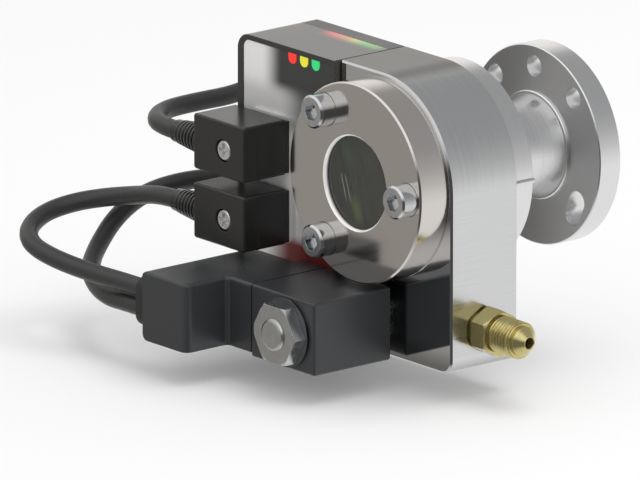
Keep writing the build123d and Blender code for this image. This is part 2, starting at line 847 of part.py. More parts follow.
def valve_seat():
    """Brass insert, pressed into the block, with the raised lip that the seal closes."""
    lip = cavity_floor - seat_lip
    deep = cavity_floor + seat_length
    return turned_y([
        (orifice_r, deep), (seat_r, deep), (seat_r, cavity_floor), (seat_lip_r, cavity_floor),
        (orifice_r + seat_lip_slope, lip), (orifice_r, lip)], valve_x, valve_z)


def coil_housing():
    """Moulded coil, a block round the armature tube."""
    coil = box((-coil_left, coil_right), (coil_front, coil_back), (-coil_bottom, -coil_top))
    coil = fillet(coil.edges(), coil_edge_r)
    return coil - rod(tube_r + running_gap, valve_x, (coil_front, coil_back), valve_z)


def coil_connector():
    """Cable head with its short neck, moulded on the coil's left side."""
    plan = make_face(Polyline(
        (-coil_left, coil_front), (-head_right, coil_front), (-head_right, head_face),
        (-head_left, head_face),
        (-head_left, head_rear), (-head_right, head_rear), (-head_right, coil_back), (-coil_left, coil_back),
        close=True))
    for y, radius in ((head_face, head_edge_r), (coil_front, head_inner_r)):
        plan = fillet(plan.vertices().sort_by_distance((-head_right, y, 0))[0], radius)
    body = extrude(Plane.XY.offset(-head_bottom) * plan, head_bottom - coil_top)
    low_left = body.edges().filter_by(Axis.Y).sort_by_distance((-head_left, head_face, -head_bottom))[0]
    body = fillet(low_left, head_low_r)
    rim = [e for e in body.faces().sort_by(Axis.Z)[-1].edges() if e.center().X < -coil_left - fit_gap]
    return fillet(rim, head_top_r)


def cable_grommet():
    height = grommet_bottom - grommet_top
    shape = RectangleRounded(grommet_width, height, grommet_width * 0.45)
    plane = Plane(origin=(grommet_x, grommet_y, grommet_z), x_dir=(0, 1, 0), z_dir=(1, 0, 0))
    body = extrude(plane * shape, grommet_length)
    return chamfer(body.faces().sort_by(Axis.X)[0].edges(), coil_edge_r)


def coil_washer():
    hole_r = tube_r + fit_gap
    return groove((washer_r + hole_r) / 2, washer_r - hole_r, (nut_back, coil_front), valve_x, valve_z)


def coil_nut():
    """Hexagon nut with a turned front edge, on the thread of the tube's end."""
    front = nut_back - coil_nut_height
    major = coil_nut_across / sqrt(3)
    nut = slab(Pos(valve_x, valve_z) * hexagon(coil_nut_across), (front, nut_back))
    bevel = coil_nut_bevel
    nut &= turned_y([
        (0, nut_back), (major, nut_back), (major, front + bevel), (major - 1.7 * bevel, front), (0, front)],
        valve_x, valve_z)
    return nut - rod(tube_r + thread_gap, valve_x, (front, nut_back), valve_z)


# Oil inlet

def inlet_fitting():
    """Brass flare fitting: shank in the block, hexagon, thread and 45 degree flare seat."""
    hex_end = body_r + inlet_hex
    thread_start = hex_end + inlet_groove
    thread_end = thread_start + inlet_thread
    ring_end = thread_end + inlet_ring
    land_end = ring_end + flare_land
    tip = land_end + flare_land_r - flare_tip_r
    c = block_chamfer
    body = turned_x([
        (body_r - shank_length, flare_bore_r), (body_r - shank_length, shank_r - c),
        (body_r - shank_length + c, shank_r), (body_r, shank_r), (hex_end, shank_r),
        (hex_end, inlet_groove_r), (thread_start, inlet_groove_r), (thread_start, inlet_thread_r),
        (thread_end, inlet_thread_r), (thread_end, inlet_ring_r), (ring_end, inlet_ring_r),
        (ring_end, flare_land_r), (land_end, flare_land_r), (tip, flare_tip_r), (tip, flare_bore_r)],
        inlet_y, inlet_z)
    flats = Plane(origin=(body_r, inlet_y, inlet_z), x_dir=(0, 0, 1), z_dir=(1, 0, 0))
    nut = extrude(flats * hexagon(inlet_hex_across), inlet_hex)
    major = inlet_hex_across / sqrt(3)
    edge = hex_end - inlet_chamfer
    nut &= turned_x([(body_r, 0), (body_r, major), (edge, major), (hex_end, major - 1.6 * inlet_chamfer),
                     (hex_end, 0)], inlet_y, inlet_z)
    nut -= rod(shank_r, (body_r, hex_end), inlet_y, inlet_z)
    return body + nut


def inlet_seal():
    ring = Torus(inlet_seal_r, inlet_seal_cord / 2 - seal_gap)
    return Pos(body_r - inlet_seal_cord / 2, inlet_y, inlet_z) * Rot(Y=90) * ring


def inlet_strainer():
    """Sleeve of the strainer, with a rim on the step of its bore."""
    step = body_r - inlet_bore_depth
    end = step - strainer_length
    return turned_x([
        (end, strainer_bore_r), (end, strainer_r), (step, strainer_r), (step, strainer_rim_r),
        (step + strainer_rim, strainer_rim_r), (step + strainer_rim, strainer_bore_r)], inlet_y, inlet_z)


parts = {
    "mounting_adapter": mounting_adapter(),
    "adapter_oring": o_ring(collar_seal_r, seal_cord, collar_front + seal_cord / 2),
    "flange_oring": o_ring(flange_seal_r, seal_cord, -seal_cord / 2),
    "valve_block": valve_block(),
    "sight_flange": sight_flange(),
    "glass_gasket": glass_gasket(),
    "sight_glass": sight_glass(),
    "glass_oring": o_ring(glass_seal_r, glass_seal_cord, block_front - glass_seal_cord / 2),
    "flange_screws": flange_screws(),
    "float_bracket": float_bracket(),
    "float_pin": float_pin(),
    "float_arm": float_arm(),
    "float_body": float_body(),
    "float_magnet": float_magnet(),
    "level_sensor": level_sensor(),
    "module_housing": module_housing(),
    "module_cover": module_cover(),
    "front_panel": front_panel(),
    "light_red": light_guide(lens_places[0]),
    "light_yellow": light_guide(lens_places[1]),
    "light_green": light_guide(lens_places[2]),
    "circuit_board": circuit_board(),
    "cover_screws": cover_screws(),
    "side_screws": side_screws(),
    "cable_upper": cable_upper(),
    "cable_lower": cable_lower(),
    "armature_tube": armature_tube(),
    "tube_oring": tube_oring(),
    "pole_piece": pole_piece(),
    "plunger": plunger(),
    "valve_seal": valve_seal(),
    "plunger_spring": plunger_spring(),
    "valve_seat": valve_seat(),
    "coil_housing": coil_housing(),
    "coil_connector": coil_connector(),
    "cable_grommet": cable_grommet(),
    "coil_washer": coil_washer(),
    "coil_nut": coil_nut(),
    "inlet_fitting": inlet_fitting(),
    "inlet_seal": inlet_seal(),
    "inlet_strainer": inlet_strainer(),
}
for name, height in zip(("upper", "lower"), plug_heights):
    parts["socket_" + name] = plug_socket(height)
    parts["plug_" + name] = plug(height)
    parts["plug_screw_" + name] = plug_screw(height)
    parts["relief_" + name] = strain_relief(height)

os.makedirs("parts", exist_ok=True)
for name, solid in parts.items():
    export_step(solid, "parts/" + name + ".step")
print(len(parts), "pieces written")
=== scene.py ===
# %% [markdown]
# An oil level regulator, dressed for its portrait. Its solids come from the
# CAD model as a fixed frame, in metres: +Z is up, the sight glass looks along
# -Y and the brass oil inlet points along +X. This lesson gives each solid its
# finish, lays the two cables as curves, cuts the thread on the brass fitting,
# and sets up a small pale studio. It begins with the frame, because every
# later step refers to its pieces by name.

# %% Load the solids
import bpy
import bmesh
import math
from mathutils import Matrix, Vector


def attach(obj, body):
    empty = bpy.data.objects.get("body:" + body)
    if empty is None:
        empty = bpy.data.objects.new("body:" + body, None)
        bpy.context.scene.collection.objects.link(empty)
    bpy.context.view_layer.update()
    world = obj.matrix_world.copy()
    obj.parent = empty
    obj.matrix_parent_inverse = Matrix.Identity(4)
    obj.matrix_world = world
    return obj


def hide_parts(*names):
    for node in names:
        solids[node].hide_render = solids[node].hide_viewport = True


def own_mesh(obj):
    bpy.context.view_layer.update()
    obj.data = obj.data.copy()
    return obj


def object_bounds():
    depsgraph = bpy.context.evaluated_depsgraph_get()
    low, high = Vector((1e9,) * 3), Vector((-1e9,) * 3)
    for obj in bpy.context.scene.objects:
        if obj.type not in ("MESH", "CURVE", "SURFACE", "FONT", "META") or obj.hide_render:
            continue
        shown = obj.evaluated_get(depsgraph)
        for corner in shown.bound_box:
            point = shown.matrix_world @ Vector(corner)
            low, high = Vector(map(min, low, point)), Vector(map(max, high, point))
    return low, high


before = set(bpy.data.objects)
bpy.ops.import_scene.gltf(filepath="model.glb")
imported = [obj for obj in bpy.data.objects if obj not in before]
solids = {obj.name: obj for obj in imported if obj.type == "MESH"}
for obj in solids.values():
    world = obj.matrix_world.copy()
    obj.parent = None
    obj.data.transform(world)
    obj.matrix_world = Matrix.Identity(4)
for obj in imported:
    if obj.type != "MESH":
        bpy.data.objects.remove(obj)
cad_low, cad_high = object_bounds()
print(len(solids), "solids, box", [round(v, 4) for v in cad_high - cad_low])

# %% [markdown]
# The portrait was taken from far away with a long lens, so that parallel
# edges stay almost parallel. A camera without any perspective would come
# close, but the far edges do draw together a little, so this one stands 5 m
# off with a 950 mm lens. Its direction is an azimuth of 50.5 degrees, from the
# front round to the brass fitting's side, and 15.4 degrees above the horizon.

# %% Camera
azimuth, elevation = math.radians(50.455), math.radians(15.424)
camera_distance = 5.0
aim = Vector((-0.06001, -0.0400, -0.036315))
to_camera = Vector((math.sin(azimuth) * math.cos(elevation),
                    -math.cos(azimuth) * math.cos(elevation), math.sin(elevation)))
camera = bpy.data.objects.new("camera", bpy.data.cameras.new("camera"))
camera.data.sensor_width = 36
camera.data.lens = 950.2
camera.data.clip_end = 20
camera.location = aim + to_camera * camera_distance
camera.rotation_euler = to_camera.to_track_quat("Z", "Y").to_euler()
bpy.context.scene.collection.objects.link(camera)
bpy.context.scene.camera = camera
bpy.context.scene.view_settings.view_transform = "Standard"
print("camera at", [round(v, 3) for v in camera.location])

# %% [markdown]
# A small kit for materials. Every finish here is a Principled shader with a
# few nodes round it. Coordinates are the object's own, in metres, so a grain
# keeps its real size and rides with a moving piece.

# %% A finish and its nodes
def add(finish, kind, props=None, **inputs):
    """Add a node. An input may be a value or another node's output; _0 style keys are socket numbers."""
    tree = finish.node_tree
    node = tree.nodes.new(kind)
    for key, value in (props or {}).items():
        setattr(node, key, value)
    for key, value in inputs.items():
        socket = node.inputs[int(key[1:])] if key[0] == "_" else node.inputs[key.replace("_", " ")]
        if isinstance(value, bpy.types.NodeSocket):
            tree.links.new(value, socket)
        else:
            socket.default_value = value
    return node


def new_finish(name, colour, roughness, **sockets):
    """Start a material. Returns the material, its Principled node and its object coordinates."""
    finish = bpy.data.materials.new(name)
    finish.use_nodes = True
    shader = finish.node_tree.nodes["Principled BSDF"]
    shader.inputs["Base Color"].default_value = (*colour, 1)
    shader.inputs["Roughness"].default_value = roughness
    for socket, value in sockets.items():
        shader.inputs[socket.replace("_", " ")].default_value = value
    return finish, shader, add(finish, "ShaderNodeTexCoord").outputs["Object"]


def wire(finish, value, shader, socket):
    """Lead a node's output to one of the shader's sockets."""
    finish.node_tree.links.new(value, shader.inputs[socket])


def dress(finish, *names):
    """Give CAD nodes one finish."""
    for name in names:
        solids[name].data.materials.clear()
        solids[name].data.materials.append(finish)
    print(finish.name, "on", ", ".join(names))


print(len(bpy.data.materials), "materials in the file so far")

# %% [markdown]
# Much of a finish is arithmetic on shares, numbers from 0 to 1 that say how
# much of a thing is there: how far up a face lies, how near a line is, how
# flat a spot is. One Math node does one sum, so a few named sums keep the
# later cells short enough to read. The most useful is the fade, a step with a
# soft border, because real tones seldom change along a hard line.

# %% Sums and shares
def calc(finish, operation, a, b=0.0, clamp=False):
    """One Math node."""
    return add(finish, "ShaderNodeMath", {"operation": operation, "use_clamp": clamp}, _0=a, _1=b).outputs[0]


def times(finish, first, *others):
    """All the values multiplied together."""
    for value in others:
        first = calc(finish, "MULTIPLY", first, value)
    return first


def opposite(finish, share):
    """What is left of 1."""
    return calc(finish, "SUBTRACT", 1.0, share, True)


def fade(finish, value, start, end, low=0.0, high=1.0, how="SMOOTHSTEP"):
    """From low, where the value is at start, to high, where it is at end. Start may be the larger."""
    return add(finish, "ShaderNodeMapRange", {"interpolation_type": how}, Value=value,
               _1=start, _2=end, _3=low, _4=high).outputs[0]


def between(finish, share, first, second):
    """A number that goes from the first to the second with the share."""
    return add(finish, "ShaderNodeMix", _0=share, _2=first, _3=second).outputs[0]


def split(finish, vector):
    """The x, y and z of a vector, each an output of its own."""
    return add(finish, "ShaderNodeSeparateXYZ", _0=vector).outputs


def facing(finish):
    """The x, y and z of the direction in which the surface faces, in the object's own axes."""
    return split(finish, add(finish, "ShaderNodeTexCoord").outputs["Normal"])


print("shares run from 0 to 1, fades take their borders in metres")

# %% [markdown]
# The other half of a finish is colour and grain. A ramp turns a share into a
# colour, a blend lays one colour over another, and noise that is stretched
# along one axis looks like brushing. Rounded edges could be cut into every
# mesh, but a Bevel node bends the light at the edge for the same look, and
# leaves the CAD solids as they are.

# %% Colours and grain
def toned(colour, factor):
    """The same colour, darker or lighter."""
    return tuple(c * factor for c in colour)


def ramp(finish, value, *stops):
    """A colour ramp from (position, colour) stops. A single number is a grey."""
    node = add(finish, "ShaderNodeValToRGB", _0=value)
    while len(node.color_ramp.elements) < len(stops):
        node.color_ramp.elements.new(0.5)
    for element, (position, colour) in zip(node.color_ramp.elements, stops):
        red, green, blue = colour if isinstance(colour, tuple) else (colour,) * 3
        element.position, element.color = position, (red, green, blue, 1)
    return node.outputs[0]


def blend(finish, share, first, second, how="MIX"):
    """The first colour, with the second blended in where the share is 1."""
    first, second = [(*colour, 1) if isinstance(colour, tuple) else colour for colour in (first, second)]
    return add(finish, "ShaderNodeMix", {"data_type": "RGBA", "blend_type": how},
               _0=share, _6=first, _7=second).outputs[2]


def noise(finish, place, scale, detail=3.0, stretch=(1, 1, 1)):
    """Noise of about 1/scale metres, longer along the axes whose stretch is under 1."""
    moved = add(finish, "ShaderNodeMapping", Vector=place, Scale=stretch).outputs[0]
    return add(finish, "ShaderNodeTexNoise", Vector=moved, Scale=scale, Detail=detail).outputs["Fac"]


def softened(finish, shader, radius, height=None, strength=0.1, distance=0.0001):
    """Round the edges in the shading alone, and add a fine relief where a height is given."""
    normal = add(finish, "ShaderNodeBevel", {"samples": 6}, Radius=radius).outputs[0]
    if height is not None:
        normal = add(finish, "ShaderNodeBump", Strength=strength, Distance=distance,
                     Height=height, Normal=normal).outputs[0]
    wire(finish, normal, shader, "Normal")


fine_relief = 0.00002       # the depth of most grains here
print("grains are", round(fine_relief * 1e6), "micrometres deep")

# %% [markdown]
# The two cables are limp black leads that run from the plugs round the left
# side to the cable head of the coil. Each could be a tube of straight runs and
# bends, as in the CAD model, but a smooth NURBS curve hangs more naturally;
# its control points are the corners of the CAD route. The order is set after
# the points exist, because before that the curve would fall back to straight
# runs. The thickness is each point's own radius, because Blender counts that
# radius into a curve's bounding box, and at the usual 1 the box would be 2 m
# wide.

# %% Cable routes
cable_radius = 0.0028


def metres(points):
    """Points from millimetres."""
    return [Vector(p) / 1000 for p in points]


cable_routes = {            # length in metres, then the route from plug to coil
    "cable_upper": (0.244, metres([
        (-75.8, -81.2, 1.0), (-84.2, -81.2, 1.0), (-91.8, -76.9, 1.1), (-96.7, -68.6, 1.2),
        (-96.5, -56.9, 1.5), (-94.6, -44.0, 1.9), (-93.9, -32.0, 4.6), (-94.0, -19.6, 5.2),
        (-94.0, -10.4, -0.9), (-94.0, -7.7, -11.6), (-93.9, -12.7, -21.6), (-94.0, -23.1, -26.6),
        (-94.8, -36.1, -24.3), (-97.1, -49.0, -23.1), (-100.9, -61.1, -23.3), (-105.1, -71.2, -26.2),
        (-108.2, -78.9, -32.6), (-105.6, -87.5, -39.0), (-98.8, -96.3, -42.4), (-89.2, -102.4, -44.7),
        (-77.6, -106.6, -45.6), (-67.6, -107.5, -44.95), (-58.6, -107.5, -44.95)])),
    "cable_lower": (0.118, metres([
        (-75.8, -81.2, -20.1), (-83.8, -81.2, -20.1), (-97.3, -79.9, -23.4), (-107.5, -83.1, -25.6),
        (-114.0, -90.6, -27.3), (-115.8, -100.4, -29.3), (-112.0, -109.3, -31.8), (-103.6, -114.7, -33.8),
        (-92.9, -114.8, -35.7), (-81.5, -111.0, -38.0), (-67.6, -107.5, -39.05), (-58.6, -107.5, -39.05)])),
}
print({node: len(route) for node, (length, route) in cable_routes.items()}, "points")

# %% [markdown]
# Laying a cable is two jobs. The first makes the curve and its thickness. The
# second hangs the curve on the body that it rides on and hides the CAD node
# that it stands for.

# %% Lay the cables
def lay_cable(node, length, route):
    """One lead along its route, in place of a CAD node."""
    data = bpy.data.curves.new(node + "_line", "CURVE")
    data.dimensions = "3D"
    data.bevel_depth = 1.0          # times each point's radius
    data.bevel_resolution = 6
    data.resolution_u = 12
    spline = data.splines.new("NURBS")
    spline.points.add(len(route) - 1)
    for point, place in zip(spline.points, route):
        point.co, point.radius = (*place, 1), cable_radius
    spline.order_u = 3
    spline.use_endpoint_u = True
    lead = bpy.data.objects.new(node + "_lead", data)
    bpy.context.scene.collection.objects.link(lead)
    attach(lead, "regulator")
    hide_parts(node)
    return lead


leads = [lay_cable(node, *facts) for node, facts in cable_routes.items()]
print("laid", [lead.name for lead in leads])

# %% [markdown]
# The leads' sheath is soft black plastic with a slight gloss. One number for
# the roughness would do, but then the highlight runs along the cable like a
# ruled line. A faint unevenness breaks it up, as handling does to a real lead.

# %% Cable sheath
sheath, shader, place = new_finish("cable sheath", (0.030, 0.031, 0.030), 0.42, Specular_IOR_Level=0.55)
grain = noise(sheath, place, 900, 4)
wire(sheath, ramp(sheath, grain, (0.3, 0.38), (0.7, 0.5)), shader, "Roughness")
softened(sheath, shader, 0.0001, grain, 0.12)
for lead in leads:
    lead.data.materials.append(sheath)
print(sheath.name, "on", len(leads), "leads")

# %% [markdown]
# The brass fitting carries a 7/16 inch unified thread, twenty turns to the
# inch, with a hexagon behind it and a 45 degree seat in front. A thread could
# be a bump on a plain cylinder, but its crests show against the white floor,
# so it is real geometry. The whole fitting is described in one way: every
# station along it has its own radius for each angle round the axis.

# %% Flare fitting: sizes
fitting_y, fitting_z = -0.053, -0.0415      # its axis, along X
inner_end, block_side = 0.0235, 0.0315
hexagon_start, hexagon_end = 0.0323, 0.0385
across_flats = 0.0127
corner_radius = across_flats / math.sqrt(3)
inner_chamfer, outer_chamfer, chamfer_slope = 0.0004, 0.0007, 1.6
thread_start, thread_end = 0.0395, 0.0475
thread_radius, thread_depth, pitch = 0.00555, 0.00078, 0.00127
bore, shank, shoulder, neck = 0.00165, 0.0045, 0.0056, 0.0047
print("thread of", round((thread_end - thread_start) / pitch, 1), "turns")

# %% [markdown]
# Two profiles change with the angle. The hexagon has six flats, and a chamfer
# that cuts its corners at both faces. The thread is a saw wave that moves on
# by one pitch in a turn. A helix could also be swept along a path, but a wave
# in the radius needs no joining to the rest of the fitting, and it can die out
# softly at both ends as a cut thread does.

# %% Flare fitting: hexagon and thread
def hexagon_radius(x, angle):
    """Six flats with a corner towards +Z, chamfered at both faces."""
    turn = (angle + math.pi / 6) % (math.pi / 3) - math.pi / 6
    flat = across_flats / 2 / math.cos(math.pi / 6 - abs(turn))
    past_chamfer = max(0.0, x - (hexagon_end - outer_chamfer), hexagon_start + inner_chamfer - x)
    return min(flat, corner_radius - chamfer_slope * past_chamfer)


def thread_profile(x, angle):
    """A 60 degree saw wave that dies out at both ends of the thread."""
    phase = ((x - thread_start) / pitch - angle / (2 * math.pi)) % 1
    groove = min(1.0, max(0.0, 1.25 * (1 - abs(2 * phase - 1)) - 0.12))     # small flats at crest and root
    run_in = min(1.0, (x - thread_start) / (0.4 * pitch), (thread_end - x) / (0.6 * pitch))
    return thread_radius - thread_depth * groove * max(0.0, run_in)


print("hexagon", round(corner_radius * 2000, 2), "mm over its corners")

# %% [markdown]
# The stations run from the shank inside the block, over the shoulder, the
# hexagon, the neck and the thread, to the nose, and back down the bore. Close
# stations are only needed where the radius changes: at the hexagon's chamfers
# and along the thread, where each turn has fifteen.

# %% Flare fitting: stations
def plain(*pairs):
    """Round stations, from pairs of a place along X and a radius."""
    return [(x, lambda x, angle, radius=radius: radius) for x, radius in pairs]


def spread(start, end, shares, radius):
    """Stations at shares of the way between two places."""
    return [(start + (end - start) * share, radius) for share in shares]


flats_end, thread_steps = hexagon_end - outer_chamfer, 96
stations = plain((inner_end, bore), (inner_end, 0.0039), (0.0241, shank), (block_side, shank),
                 (block_side, shoulder), (hexagon_start, shoulder))
stations += spread(hexagon_start, hexagon_start + inner_chamfer, (0, 0.25, 0.5, 0.75, 1), hexagon_radius)
stations += spread(hexagon_start, flats_end, (0.4, 0.7, 1), hexagon_radius)
stations += spread(flats_end, hexagon_end, (0.15, 0.3, 0.45, 0.6, 0.75, 0.9, 1), hexagon_radius)
stations += plain((hexagon_end, neck), (thread_start, neck))
thread_shares = [i / thread_steps for i in range(thread_steps + 1)]
stations += spread(thread_start, thread_end, thread_shares, thread_profile)
stations += plain((thread_end, 0.0053), (0.0479, 0.0053), (0.0481, 0.0051),             # end of the thread
                  (0.0481, 0.00445), (0.0490, 0.00445), (0.0513, 0.00213),              # nose and its cone
                  (0.0515, 0.00195), (0.0515, 0.0018), (0.0513, bore))                  # mouth of the bore
print(len(stations), "stations")

# %% [markdown]
# Now the fitting is turned: a ring of points at every station, and a band of
# faces from each ring to the next. The last band closes the bore back to the
# first ring, so the mesh is a closed solid with a hole through it. Faces are
# shaded smooth except over edges sharper than 28 degrees, which keeps the
# hexagon's flats flat and the turned parts round.

# %% Flare fitting: turn it
def ring_at(shell, x, radius, sides=120):
    """One ring of points round the fitting's axis."""
    ring = []
    for i in range(sides):
        angle = 2 * math.pi * i / sides
        reach = radius(x, angle)
        y, z = fitting_y + reach * math.sin(angle), fitting_z + reach * math.cos(angle)
        ring.append(shell.verts.new((x, y, z)))
    return ring


def turn_fitting():
    """The fitting's mesh, from all of its stations."""
    shell = bmesh.new()
    rings = [ring_at(shell, x, radius) for x, radius in stations]
    for inner, outer in zip(rings, rings[1:] + rings[:1]):
        for i in range(len(inner)):
            k = (i + 1) % len(inner)
            shell.faces.new((inner[i], inner[k], outer[k], outer[i]))
    bmesh.ops.remove_doubles(shell, verts=shell.verts, dist=1e-7)
    bmesh.ops.recalc_face_normals(shell, faces=shell.faces)
    mesh = bpy.data.meshes.new("flare_fitting")
    shell.to_mesh(mesh)
    shell.free()
    mesh.shade_smooth()
    mesh.set_sharp_from_angle(angle=math.radians(28))
    return mesh


flare_fitting = bpy.data.objects.new("flare_fitting", turn_fitting())
bpy.context.scene.collection.objects.link(flare_fitting)
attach(flare_fitting, "regulator")
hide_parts("inlet_fitting")
print("fitting", len(flare_fitting.data.polygons), "faces, box",
      [round(v * 1000, 2) for v in flare_fitting.dimensions])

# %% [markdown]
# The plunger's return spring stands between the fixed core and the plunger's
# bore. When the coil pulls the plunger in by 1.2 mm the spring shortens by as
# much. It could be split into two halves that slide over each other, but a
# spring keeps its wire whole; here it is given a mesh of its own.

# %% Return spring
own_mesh(solids["plunger_spring"])

# %% [markdown]
# Turned metal carries fine grooves from the lathe: rings on a face, lines
# round a rim. They could be drawn as an image wrapped round the piece, but one
# noise does both when its coordinates are the distance from the axis and the
# place along it, because a turning tool leaves the same mark all the way round.

# %% Lathe marks
rings_per_metre = 3000.0


def lathe_marks(metal, place):
    """What turning about Y leaves: the distance from the axis, the share of flat face, the fine rings."""
    x, y, z = split(metal, place)
    from_axis = calc(metal, "SQRT", calc(metal, "ADD", times(metal, x, x), times(metal, z, z)))
    unrolled = add(metal, "ShaderNodeCombineXYZ", _0=from_axis, _1=y).outputs[0]
    rings = add(metal, "ShaderNodeTexNoise", Vector=unrolled, Scale=rings_per_metre,
                Detail=4.0).outputs["Fac"]
    face = calc(metal, "POWER", calc(metal, "ABSOLUTE", facing(metal)[1]), 6.0)
    return from_axis, face, rings


print("rings of about", round(1000 / rings_per_metre, 2), "mm")

# %% [markdown]
# The sight flange, the collar, the neck and the bolt flange are finished this
# way. Faces and rims are cut in different passes, so each has its own
# roughness. Inside the sight flange's window the cutter leaves a matt, pale
# lip, which is less of a mirror, and a faint painted glow on it stands for the
# light that a deep white studio would send into the bore. The adapter's flat
# faces get painted shade, a darker colour, because the block stands in their light.

# %% Turned aluminium
def turned_metal(name, colour, rim_rough, face_rough, relief, contrast, lip_radius=0.0, face_shade=1.0):
    """Metal turned about Y. A bore up to lip_radius is matt and pale, with a painted glow; faces get painted
    shade by face_shade.
    """
    metal, shader, place = new_finish(name, colour, rim_rough, Metallic=1.0)
    from_axis, face, rings = lathe_marks(metal, place)
    off_face = opposite(metal, face)
    uneven = fade(metal, rings, 0.3, 0.7, 0.75, 1.3, "LINEAR")
    wire(metal, times(metal, between(metal, face, rim_rough, face_rough), uneven), shader, "Roughness")
    grooves = times(metal, rings, off_face)
    tone = ramp(metal, grooves, (0.25, toned(colour, 1 - contrast)), (0.75, toned(colour, 1 + contrast)))
    # painted shade: the faces' colour is multiplied by face_shade
    wire(metal, blend(metal, face, tone, (face_shade,) * 3, "MULTIPLY"), shader, "Base Color")
    lip = times(metal, calc(metal, "LESS_THAN", from_axis, lip_radius), off_face)
    wire(metal, opposite(metal, times(metal, lip, 0.85)), shader, "Metallic")
    # painted glow in the bore, for the light that would reach it
    wire(metal, times(metal, lip, 0.35), shader, "Emission Strength")
    softened(metal, shader, 0.00015, grooves, relief, fine_relief)
    return metal


window_radius = 0.0146
dress(turned_metal("turned aluminium, warm", (0.70, 0.665, 0.635), rim_rough=0.16, face_rough=0.1,
                   relief=0.2, contrast=0.05, lip_radius=window_radius), "sight_flange")
dress(turned_metal("turned aluminium", (0.80, 0.80, 0.80), rim_rough=0.22, face_rough=0.42,
                   relief=0.1, contrast=0.03, face_shade=0.82), "mounting_adapter")

# %% [markdown]
# The block is milled from bar. Its straight sides are brushed from front to
# back and its round corner is brushed round the curve, while its front face is
# lapped almost to a mirror and shows the black coil. Three materials on
# chosen faces would work, but they would meet in hard lines, so one material
# does all three: the direction of the face picks the front, and the height
# picks between the two ways of brushing.

# %% Brushed block: grain
block_metal, shader, place = new_finish("brushed block", (0.74, 0.74, 0.735), 0.2, Metallic=1.0)
height = split(block_metal, place)[2]
hairlines, corner_hairlines = 4000, 4500         # to the metre
lengthways = noise(block_metal, place, hairlines, 3, (1, 0.01, 1))
around = noise(block_metal, place, corner_hairlines, 3, (0.01, 1, 0.01))
in_corner = fade(block_metal, height, -0.003, 0.002)
brushed = between(block_metal, in_corner, lengthways, around)
direction = facing(block_metal)
off_front = calc(block_metal, "SUBTRACT", 1.0, calc(block_metal, "ABSOLUTE", direction[1]), True)
side = calc(block_metal, "MULTIPLY", off_front, 1.6, True)
side_rough = ramp(block_metal, brushed, (0.3, 0.15), (0.7, 0.27))
wire(block_metal, between(block_metal, side, 0.06, side_rough), shader, "Roughness")
softened(block_metal, shader, 0.00008, times(block_metal, brushed, side), 0.12, fine_relief)
print("hairlines of", round(1000 / hairlines, 2), "mm")

# %% [markdown]
# In a studio the block's top, its front chamfer and its foot see less light
# than its side, and the foot mirrors the shadow on the floor. The tent's grey
# panels give most of that, and these soft shares paint the rest into the
# colour as painted shade. Each share is 1 where the painted shade is darkest,
# and the largest one wins, so that two of them never add up.

# %% Brushed block: painted shade
# painted shade at the foot of the front and the side, which also stands for the floor's shadow mirrored
# there, and on the front chamfer
low_front = times(block_metal, fade(block_metal, height, -0.044, -0.053), opposite(block_metal, side), 0.7)
low_side = times(block_metal, fade(block_metal, height, -0.0485, -0.0545), side, 0.72)
chamfer = times(block_metal, calc(block_metal, "LESS_THAN", direction[1], -0.45),
                calc(block_metal, "GREATER_THAN", direction[1], -0.9), 0.3)
# painted shade on the top; the largest share picks the shaded colour
painted_shade_share = fade(block_metal, direction[2], 0.95, 1.0)      # the top
for share in (low_front, low_side, chamfer):
    painted_shade_share = calc(block_metal, "MAXIMUM", painted_shade_share, share)
bright = ramp(block_metal, brushed, (0.25, (0.655, 0.66, 0.665)), (0.75, (0.745, 0.75, 0.745)))
shaded_colour = ramp(block_metal, brushed, (0.25, (0.115, 0.113, 0.11)), (0.75, (0.13, 0.128, 0.125)))
wire(block_metal, blend(block_metal, painted_shade_share, bright, shaded_colour), shader, "Base Color")
dress(block_metal, "valve_block")

# %% [markdown]
# Screws, nut, washer and the armature tube are zinc-plated steel: a little
# darker and softer than the block, with a slightly cloudy coat. The same
# recipe serves all of them. Only its colour and roughness change, because the
# screws are new and bright, the nut is passivated and the washer is dark.

# %% Zinc-plated steel
def plated_steel(name, colour, roughness):
    """Steel with a cloudy zinc coat."""
    steel, shader, place = new_finish(name, colour, roughness, Metallic=1.0)
    cloud = noise(steel, place, 400, 3)
    coat = ramp(steel, cloud, (0.3, toned(colour, 0.93)), (0.7, toned(colour, 1.05)))
    wire(steel, coat, shader, "Base Color")
    wire(steel, ramp(steel, cloud, (0.3, roughness * 0.8), (0.7, roughness * 1.2)), shader, "Roughness")
    softened(steel, shader, 0.00018, noise(steel, place, 1500, 2), 0.03, 0.00001)
    return steel


dress(plated_steel("bright steel", (0.60, 0.61, 0.62), 0.14), "flange_screws")
dress(plated_steel("plated steel", (0.54, 0.55, 0.55), 0.26), "coil_nut", "armature_tube", "pole_piece",
      "plunger", "plunger_spring", "float_pin", "float_bracket", "float_magnet",
      "cover_screws", "side_screws")
dress(plated_steel("pale plated steel", (0.88, 0.88, 0.87), 0.38), "plug_screw_upper", "plug_screw_lower")
dress(plated_steel("dark washer steel", (0.13, 0.135, 0.14), 0.2), "coil_washer")

# %% [markdown]
# Moulded plastic is on the plugs, the coil and its cable head. It is nearly
# black with a fine grain, and its edges catch a thin line of light, which a
# rounded normal at the edges gives without touching the mesh. Rubber, the
# gasket's fibre and the float's pale plastic are made by the same recipe with
# a coarser or finer grain.

# %% Black plastics
def moulded(name, colour, roughness, edge, grain_size=1600, relief=0.1):
    """Moulded stock with a fine grain, and edges that look rounded to the radius given as edge."""
    plastic, shader, place = new_finish(name, colour, roughness, Specular_IOR_Level=0.5)
    grain = noise(plastic, place, grain_size, 2)
    patch = noise(plastic, place, 60, 3)
    wire(plastic, ramp(plastic, patch, (0.3, roughness * 0.88), (0.7, roughness * 1.12)), shader, "Roughness")
    softened(plastic, shader, edge, grain, relief, fine_relief)
    return plastic


